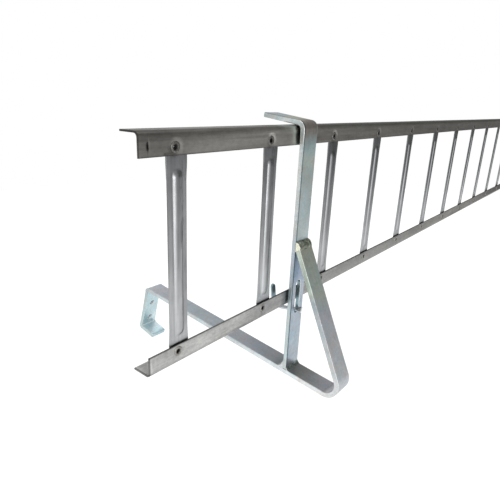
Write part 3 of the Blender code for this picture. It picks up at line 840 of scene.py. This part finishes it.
def make_clip(material):
    """The locking clip: a strip bent to a J, its front end twisted and its back end rounded."""
    forward = direction(180 - CLIP_DIP)
    reach = (CLIP_PIVOT.x - CLIP_FRONT_Y) / -forward.x
    stations = []
    steps = 14
    for k in range(steps + 1):
        share = 1 - k / steps
        twist = CLIP_TWIST * smooth_step((share - 0.4) / 0.5)
        stations.append((CLIP_PIVOT + forward * (reach * share), -CLIP_DIP, twist))
    run = -forward
    drop = direction(-CLIP_DIP - 90) * CLIP_RADIUS
    centre = Vector((CLIP_BACK_Y - CLIP_RADIUS, 0))
    centre.y = CLIP_PIVOT.y + run.y / run.x * (centre.x + drop.x - CLIP_PIVOT.x) - drop.y
    steps = 18
    for k in range(steps + 1):
        angle = -90 - CLIP_DIP + (90 + CLIP_DIP) * k / steps
        stations.append((centre + direction(angle) * CLIP_RADIUS, angle + 90, 0.0))
    steps = 12
    base = stations[-1][0]
    tip = Vector((CLIP_BACK_Y + CLIP_LEAN, CLIP_TIP_Z))
    for k in range(1, steps + 1):
        stations.append((base.lerp(tip, k / steps), 90, 0.0))
    section = bar_section(CLIP_WIDTH, CLIP_THICKNESS, 0.6 * MM)
    rings = []
    for place, heading, twist in stations:
        out = direction(heading + 90)
        turn = Matrix.Rotation(math.radians(twist), 2)
        past = 1 - (tip - place).length / (CLIP_WIDTH / 2)
        narrow = math.sqrt(max(0.12, 1 - past * past)) if past > 0 else 1.0
        ring = []
        for x, n in section:
            x, n = turn @ Vector((x * narrow, n))
            spot = place + out * n
            ring.append((BAR_MIDDLE + x, spot.x, spot.y))
        rings.append(ring)
    mesh = swept_mesh("locking_clip_strip", rings)
    add_piece("locking_clip_strip", mesh, material, "clip", "locking_clip")


# ---- lattice --------------------------------------------------------------
def dimple(x, z, rivets):
    """How far the sheet is pressed back round its rivets."""
    push = 0.0
    for rivet in rivets:
        if abs(x - rivet.x) < 3 * DIMPLE_RADIUS:
            past = math.hypot(x - rivet.x, z - rivet.z) - DIMPLE_RADIUS
            push = max(push, RIVET_SEAT * (1 - smooth_step(0.5 + past / (2 * DIMPLE_EDGE))))
    return push


def with_rivet_holes(mesh, rivets):
    shape = bmesh.new()
    for rivet in rivets:
        turn = Matrix.Translation((rivet.x, SHEET, rivet.z)) @ Matrix.Rotation(math.pi / 2, 4, "X")
        bmesh.ops.create_cone(shape, cap_ends=True, segments=24, radius1=RIVET_SHANK / 2,
                              radius2=RIVET_SHANK / 2, depth=8 * SHEET, matrix=turn)
    return cut_away(mesh, as_mesh(shape, "rivet_holes"))


def rail_stations(start, rivets, dents):
    """Places along the rail: close together at rivets, dents and ends, and wide between."""
    end = start + LENGTH
    spots = {start, start + 0.4 * MM, end - 0.4 * MM, end}
    spots.update(start + k * RAIL_STEP for k in range(1, round(LENGTH / RAIL_STEP)))
    for centre in rivets:
        spots.update(centre.x + k * RIVET_STEP for k in range(-7, 8))
    for x in dents:
        spots.update(x + k * DENT_STEP for k in range(-10, 11))
    ordered = sorted(spot for spot in spots if start <= spot <= end)
    kept = ordered[:1]
    for spot in ordered[1:]:
        if spot - kept[-1] > DENT_STEP / 2:
            kept.append(spot)
    kept[-1] = end
    return kept


def make_rail(node, start, flange_z, leg_way, material, seed, dents):
    """Bent angle with rivet holes, dimples round the rivets, a slight wave and any dents."""
    corners = [(0, 0), (0, LEG), (SHEET, LEG), (SHEET, SHEET), (FLANGE, SHEET), (FLANGE, 0)]
    radii = [RAIL_BEND, SHEARED_EDGE, SHEARED_EDGE, RAIL_BEND - SHEET, SHEARED_EDGE, SHEARED_EDGE]
    outline = rounded_outline([Vector(corner) for corner in corners], radii, 5, 1.7 * MM)
    rivets = [middle(rivet) for rivet in RIVET_NAMES if rivet.startswith(node.split("_")[0])]
    rings = []
    for x in rail_stations(start, rivets, dents):
        ring = []
        for y, rise in outline:
            z = flange_z + leg_way * rise
            on_leg = max(0.0, min(1.0, (rise - RAIL_BEND) / SHEET)) if y < 2 * SHEET else 0.0
            push = 0.12 * MM * wobble(x * 9, z * 20, seed)
            push += dimple(x, z, rivets)
            for dent in dents:
                span = math.exp(-((rise - LEG / 2) / (LEG / 5)) ** 2)
                push += DENT_DEPTH * span * math.exp(-((x - dent) / DENT_WIDTH) ** 2)
            lift = 0.2 * MM * wobble(x * 7, seed, 3.1) * (y / FLANGE) ** 2
            ring.append((x, y + push * on_leg, z + lift))
        rings.append(ring)
    mesh = with_rivet_holes(swept_mesh(f"{node}_sheet", rings), rivets)
    add_piece(f"{node}_sheet", mesh, material, "lattice", node)


def bead_height(x, z):
    """Height of the pressed bead over the rung's flat at x from its middle and height z."""
    chord = BEAD_WIDTH / 2
    radius = (chord * chord + BEAD_HEIGHT * BEAD_HEIGHT) / (2 * BEAD_HEIGHT)
    past = max(BEAD_BOTTOM + chord - z, 0.0, z - BEAD_TOP + chord)
    off = math.hypot(x, past)
    raw = math.sqrt(max(0.0, radius * radius - off * off)) - (radius - BEAD_HEIGHT)
    if off >= radius:
        raw = -BEAD_HEIGHT
    return (raw + math.hypot(raw, BEAD_FOOT)) / 2 - BEAD_FOOT / 8


def make_rung(node, number, material):
    """Pressed strip with its bead, its waist and a slight wave of its own."""
    low, high = (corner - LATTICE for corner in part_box(node))
    x_middle = (low.x + high.x) / 2
    half = (high.x - low.x) / 2
    front = SHEET + GAP
    rivets = [middle(name) for name in RIVET_NAMES if name.endswith(node[-2:])]
    columns = 34
    rows = 160
    shape = bmesh.new()
    layer = shape.loops.layers.uv.new("along")
    grid = []
    for j in range(rows + 1):
        z = low.z + (high.z - low.z) * j / rows
        waist = smooth_step((z - BEAD_BOTTOM + RUNG_SHOULDER) / (2 * RUNG_SHOULDER))
        waist *= smooth_step((BEAD_TOP + RUNG_SHOULDER - z) / (2 * RUNG_SHOULDER))
        reach = half - RUNG_WAIST_IN * waist
        wave = 0.12 * MM * wobble(number * 5.3, z * 18, 0)
        row = []
        for i in range(columns + 1):
            across = -1 + 2 * i / columns
            x = reach * across
            dish = 0.05 * MM * wobble(number * 3.7, z * 30, across * 0.8)
            y = front - bead_height(x, z) + dish * waist + dimple(x_middle + x, z, rivets)
            row.append(shape.verts.new((x_middle + x + wave * waist, y, z)))
        grid.append(row)
    for j in range(rows):
        for i in range(columns):
            face = shape.faces.new((grid[j][i], grid[j][i + 1], grid[j + 1][i + 1], grid[j + 1][i]))
            for loop in face.loops:
                loop[layer].uv = (loop.vert.co.z, loop.vert.co.x - x_middle)
    mesh = as_mesh(shape, f"{node}_strip")
    edges = {"width": 0.2 * MM, "segments": 2, "limit_method": "ANGLE", "angle_limit": math.radians(60)}
    solid = {"thickness": SHEET, "offset": -1, "use_even_offset": True}
    mesh = settled(mesh, ("SOLIDIFY", solid), ("BEVEL", edges))
    mesh = with_rivet_holes(mesh, rivets)
    add_piece(f"{node}_strip", mesh, material, "lattice", node)


def make_rivet(node, number, material):
    """Hollow rivet turned about Y: a rolled ring in front, a tube, and a flare behind."""
    centre = middle(node)
    hole = RIVET_HOLE / 2 - RIVET_ROLL
    shank = RIVET_SHANK / 2
    ring_middle = (RIVET_HEAD / 2 + hole) / 2
    ring_half = ring_middle - hole
    profile = []
    for k in range(9):
        swing = math.pi * k / 8
        radius = ring_middle - ring_half * math.cos(swing)
        profile.append((radius, RIVET_SEAT - RING_HEIGHT * math.sin(swing)))
    back = 2 * SHEET + 2 * GAP + RIVET_SEAT
    profile += [(shank, RIVET_SEAT), (shank, back), (FLARE_RADIUS, back + 0.1 * MM),
                (FLARE_RADIUS, back + 0.4 * MM), (shank + 0.2 * MM, back + 0.75 * MM),
                (hole + 0.3 * MM, back + 0.7 * MM), (hole, back + 0.2 * MM)]
    steps = 28
    rings = []
    for i in range(steps):
        turn = 2 * math.pi * i / steps
        way = Vector((math.cos(turn), math.sin(turn)))
        way *= 1 + 0.05 * wobble(way.x, way.y, number * 1.7)
        rings.append([(centre.x + radius * way.x, y, centre.z + radius * way.y) for radius, y in profile])
    shape = bmesh.new()
    layer = shape.loops.layers.uv.new("along")
    verts = [[shape.verts.new(point) for point in ring] for ring in rings]
    for i in range(steps):
        for k in range(len(profile)):
            j = (k + 1) % len(profile)
            face = shape.faces.new((verts[i][k], verts[i][j], verts[i - 1][j], verts[i - 1][k]))
            for loop in face.loops:
                spot = loop.vert.co
                loop[layer].uv = (math.hypot(spot.x - centre.x, spot.z - centre.z), spot.y)
    bmesh.ops.recalc_face_normals(shape, faces=shape.faces)
    mesh = as_mesh(shape, f"{node}_turned")
    add_piece(f"{node}_turned", mesh, material, "lattice", node, sharp=50)


# ---- stage ----------------------------------------------------------------
CAMERA_PLACE = Vector((-200.96, -262.22, 223.53)) * MM     # lattice coordinates
CAMERA_AZIMUTH = 51.24       # from +Y towards +X
CAMERA_DOWN = 18.44
CAMERA_ROLL = 2.34
CAMERA_LENS = 32.51
FLOOR_RADIUS = 1.5
FLOOR_MIDDLE_X = 0.45        # lattice coordinates

# room light as (degrees above the horizon, brightness)
BRIGHT_SIDE = [(-90, 1.0), (-5, 1.0), (10, 1.0), (31, 0.9), (35, (0.30, 0.29, 0.28)),
               (41, (0.30, 0.29, 0.28)), (46, 0.95), (60, 1.3), (90, 1.3)]
DIM_SIDE = [(-90, 1.0), (-30, 0.95), (-17, 0.55), (-8, 0.36), (0, 0.3), (10, (0.25, 0.26, 0.24)),
            (45, 0.28), (60, 0.8), (90, 1.1)]
DIM_AZIMUTH = 100            # from +Y towards +X
DIM_REACH = (0.55, 0.77)     # cosine of the angle from it where the room is bright and where it is dim


def make_camera():
    data = bpy.data.cameras.new("camera")
    data.lens = CAMERA_LENS
    data.sensor_width = 36
    data.clip_start = 0.01
    camera = new_object("camera", data)
    turn = Matrix.Rotation(math.radians(-CAMERA_AZIMUTH), 4, "Z")
    tilt = Matrix.Rotation(math.radians(90 - CAMERA_DOWN), 4, "X")
    roll = Matrix.Rotation(math.radians(CAMERA_ROLL), 4, "Z")
    camera.matrix_world = Matrix.Translation(LATTICE + CAMERA_PLACE) @ turn @ tilt @ roll
    bpy.context.scene.camera = camera


def make_floor():
    shape = bmesh.new()
    bmesh.ops.create_circle(shape, cap_ends=True, segments=96, radius=FLOOR_RADIUS)
    mesh = as_mesh(shape, "floor")
    material = bpy.data.materials.new("pale_floor")
    material.use_nodes = True
    tree = material.node_tree
    shader = tree.nodes["Principled BSDF"]
    shader.inputs["Roughness"].default_value = 0.8
    place = tree.nodes.new("ShaderNodeTexCoord").outputs["Object"]
    cloud = grain(place, 3, 3)
    tree.links.new(ramp(cloud, [(0.3, 0.24), (0.7, 0.26)]), shader.inputs["Base Color"])
    shader.inputs["Emission Color"].default_value = (1, 1, 1, 1)
    shader.inputs["Emission Strength"].default_value = 0.85
    mesh.materials.append(material)
    floor = new_object("floor", mesh)
    floor.location = (LATTICE.x + FLOOR_MIDDLE_X, LATTICE.y, CAD_BOX[0][2] - 0.5 * MM)


def height_ramp(height, stops):
    """Room light by elevation; a stop is (degrees above the horizon, grey or colour)."""
    spread = [((1 + math.sin(math.radians(up))) / 2, shade) for up, shade in stops]
    return ramp(unit(height, -1.0, 1.0), spread)


def make_world():
    """Room light: bright behind and to the left, dim at the front right, dark band above, bright overhead.

    The camera itself sees it white."""
    world = bpy.data.worlds.new("studio")
    bpy.context.scene.world = world
    world.use_nodes = True
    tree = world.node_tree
    tree.nodes.clear()
    way = tree.nodes.new("ShaderNodeTexCoord").outputs["Generated"]
    height = parts(way)[2]
    bright = height_ramp(height, BRIGHT_SIDE)
    dim = height_ramp(height, DIM_SIDE)
    across = math.radians(DIM_AZIMUTH)
    facing = add_node("ShaderNodeVectorMath", {0: way, 1: (math.sin(across), math.cos(across), 0)},
                      operation="DOT_PRODUCT").outputs["Value"]
    share = unit(facing, *DIM_REACH)
    share.node.interpolation_type = "SMOOTHSTEP"
    room = mix(share, bright, dim)
    lit = add_node("ShaderNodeBackground", {"Color": room, "Strength": 1.0})
    seen = tree.nodes.new("ShaderNodeBackground")
    seen.inputs["Color"].default_value = (1, 1, 1, 1)
    rays = tree.nodes.new("ShaderNodeLightPath").outputs["Is Camera Ray"]
    mixed = add_node("ShaderNodeMixShader", {0: rays, 1: lit.outputs[0], 2: seen.outputs[0]})
    add_node("ShaderNodeOutputWorld", {0: mixed.outputs[0]})


def add_light(name, place, target, width, height, power):
    data = bpy.data.lights.new(name, "AREA")
    data.shape = "RECTANGLE"
    data.size = width
    data.size_y = height
    data.energy = power
    light = new_object(name, data)
    light.location = LATTICE + Vector(place)
    light.rotation_euler = (Vector(target) - Vector(place)).to_track_quat("-Z", "Y").to_euler()


def make_lights():
    add_light("overhead_softbox", (0.3, -0.1, 1.9), (0.3, 0.0, 0.0), 1.2, 1.2, 8)
    add_light("front_softbox", (-0.25, -1.6, 0.1), (0.1, 0.0, 0.05), 0.5, 0.8, 5)


# ---- the whole ------------------------------------------------------------
GREENISH = (0.54, 0.60, 0.56)
LILAC = (0.54, 0.55, 0.60)
TEAL = (0.47, 0.58, 0.61)
# painted shade on the upright's front under the brace
UNDER_BRACE_SHADE_BLUE = (0.34, 0.41, 0.53)
STRAW = (0.56, 0.56, 0.47)
PALE = (0.64, 0.67, 0.68)
PALE_GREEN = (0.62, 0.68, 0.60)
CYAN = (0.55, 0.69, 0.72)
DARK_GREY = (0.27, 0.28, 0.28)
DARK_TEAL = (0.28, 0.38, 0.41)
# painted shade on the walls of the slot and of the screw holes
SLOT_SHADE_TEAL = (0.36, 0.50, 0.55)
HOOK_HOLE_SHADE = (0.34, 0.42, 0.44)
# darkness of the painted reflection along the upright's left edge
EDGE_REFLECTION_GREY = (0.40, 0.44, 0.46)
WHITE = (1.0, 1.0, 1.0)

# tints of the plating as (metres along the bar, colour), with painted light and shade worked in: painted
# shade on the upright's front under the brace and at the hook's lip, and the sides lighter or darker as
# painted light
STRAP_FACES = [
    (0.0, STRAW), (0.02, GREENISH), (0.055, GREENISH), (0.075, LILAC), (0.15, (0.47, 0.48, 0.49)),
    (0.19, LILAC), (0.215, (0.40, 0.40, 0.41)), (0.24, DARK_GREY), (0.255, (0.36, 0.38, 0.41)),
    (0.28, (0.39, 0.41, 0.46)), (0.32, (0.45, 0.47, 0.50)), (0.42, (0.48, 0.54, 0.58)), (0.49, LILAC),
    (0.51, CYAN), (0.55, CYAN), (0.57, (0.84, 0.96, 1.0)), (0.588, (0.80, 0.95, 1.0)),
    (0.597, (0.46, 0.60, 0.64)), (0.615, (0.36, 0.48, 0.51)),
]
STRAP_SIDES = [
    (0.0, PALE_GREEN), (0.047, PALE_GREEN), (0.062, (0.40, 0.44, 0.46)), (0.09, (0.47, 0.50, 0.52)),
    (0.12, (0.52, 0.55, 0.56)), (0.15, (0.58, 0.60, 0.61)), (0.19, (0.80, 0.82, 0.83)),
    (0.26, (0.80, 0.82, 0.83)), (0.32, (0.60, 0.64, 0.65)), (0.46, (0.60, 0.64, 0.65)),
    (0.50, (0.50, 0.54, 0.56)), (0.53, (0.52, 0.62, 0.62)), (0.62, (0.54, 0.63, 0.63)),
]
UPRIGHT_FACES = [
    (0.0, (0.44, 0.48, 0.53)), (0.04, (0.41, 0.48, 0.54)), (0.10, (0.42, 0.47, 0.54)), (0.125, UNDER_BRACE_SHADE_BLUE),
    (0.15, UNDER_BRACE_SHADE_BLUE), (0.165, (0.42, 0.49, 0.49)), (0.20, (0.40, 0.46, 0.47)), (0.23, (0.41, 0.47, 0.46)),
    (0.255, GREENISH), (0.265, (0.46, 0.57, 0.58)), (0.278, (0.33, 0.30, 0.27)),
    (0.286, (0.35, 0.31, 0.29)), (0.294, (0.58, 0.58, 0.50)), (0.305, STRAW), (0.32, TEAL), (0.34, LILAC),
]
UPRIGHT_SIDES = [
    (0.0, (0.60, 0.65, 0.65)), (0.06, (0.54, 0.61, 0.61)), (0.10, (0.42, 0.50, 0.53)),
    (0.14, (0.46, 0.50, 0.55)), (0.18, (0.62, 0.65, 0.65)), (0.26, (0.66, 0.68, 0.66)),
    (0.30, (0.74, 0.78, 0.78)), (0.33, (0.46, 0.50, 0.49)),
]
CLIP_FACES = [
    (0.0, (0.9, 0.92, 0.94)), (0.012, PALE), (0.03, LILAC), (0.05, DARK_TEAL), (0.068, DARK_TEAL),
    (0.073, (0.30, 0.28, 0.27)),
]
CLIP_SIDES = [(0.0, PALE), (0.05, TEAL)]

# tints of the welds, hollows to crests
WELD_OLIVE = [(0.05, 0.055, 0.04), (0.20, 0.22, 0.18), (0.36, 0.39, 0.34)]
WELD_DARK = [(0.08, 0.10, 0.10), (0.18, 0.21, 0.20), (0.34, 0.38, 0.36)]
WELD_PALE = [(0.34, 0.37, 0.38), (0.50, 0.53, 0.54), (0.62, 0.65, 0.65)]


def make_bracket():
    strap_zinc = bright_zinc("strap_zinc", 0.63, STRAP_FACES, STRAP_SIDES, HOOK_HOLE_SHADE, WHITE)
    upright_zinc = bright_zinc("upright_zinc", 0.35, UPRIGHT_FACES, UPRIGHT_SIDES, SLOT_SHADE_TEAL, EDGE_REFLECTION_GREY)
    clip_zinc = bright_zinc("clip_zinc", 0.08, CLIP_FACES, CLIP_SIDES, DARK_TEAL, WHITE)
    # the last colour of each weld is its painted end highlight
    brace_weld = zinc_weld("brace_weld_zinc", WELD_OLIVE, (0.95, 0.95, 0.76))
    front_weld = zinc_weld("front_weld_zinc", WELD_DARK, PALE)
    back_weld = zinc_weld("back_weld_zinc", WELD_PALE, PALE)
    make_hook_strap(strap_zinc)
    make_upright(upright_zinc)
    make_foot_weld("foot_weld_front", on_upright(0), -STRAP_WAY, FRONT_WELD, front_weld)
    rear = on_upright(0) + UPRIGHT_BACK * UPRIGHT_THICKNESS
    make_foot_weld("foot_weld_back", rear, STRAP_WAY, BACK_WELD, back_weld)
    make_brace_weld(brace_weld)
    make_clip(clip_zinc)


def make_lattice():
    long_way = (0.05, 1, 1)
    upright_way = (1, 1, 0.07)
    top_sheet = mill_sheet("top_rail_steel", (0.44, 0.425, 0.40), (0.32, 0.31, 0.29), long_way, 0.8, 0.5,
                           top_rail_marks_and_light)
    bottom_sheet = mill_sheet("bottom_rail_steel", (0.56, 0.56, 0.545), (0.45, 0.45, 0.44), long_way, 0.6,
                              0.8, bottom_rail_marks_and_light)
    rung_sheet = mill_sheet("rung_steel", (0.60, 0.615, 0.63), (0.50, 0.51, 0.52), upright_way, 0.7, 0.1,
                            rung_light_and_smudges)
    rivet = rivet_steel("rivet_steel_plain")
    make_rail("top_rail", TOP_RAIL_START, HEIGHT, -1, top_sheet, 1.3, [DENT_X])
    make_rail("bottom_rail", 0.0, 0.0, 1, bottom_sheet, 8.9, [])
    for number, node in enumerate(RUNG_NAMES, 1):
        make_rung(node, number, rung_sheet)
    for number, node in enumerate(RIVET_NAMES, 1):
        make_rivet(node, number, rivet)


def main():
    make_bracket()
    make_lattice()
    make_camera()
    make_floor()
    make_world()
    make_lights()
    bpy.context.scene.view_settings.view_transform = "Standard"


main()
